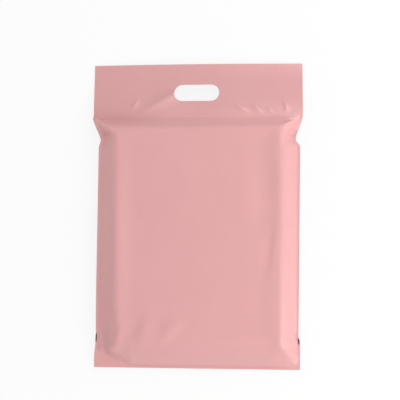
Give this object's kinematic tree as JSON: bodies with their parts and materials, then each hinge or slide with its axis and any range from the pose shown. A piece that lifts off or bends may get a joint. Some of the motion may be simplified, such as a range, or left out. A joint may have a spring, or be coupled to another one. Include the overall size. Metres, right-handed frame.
{
  "type": "poly mailer bag",
  "caption": "Filled film mailer bag with a flat header, a rounded-slot carrying hole and tapered sides that meet at side seams, lying on its back.",
  "frame": {"origin": "under the middle of the bag's bounding box, on the surface that the bag lies on", "axes": "+X across the bag, +Y along its length towards the header, +Z out of its front face"},
  "size_m": [0.35, 0.51, 0.0467],
  "materials": {
    "pink_film": "satin polyethylene film, pale pink",
    "inner_film": "near-black inner ply of the same film, which shows where a side seam gapes"
  },
  "bodies": {
    "root": {"mailer_bag": "pink_film"}
  },
  "joints": []
}
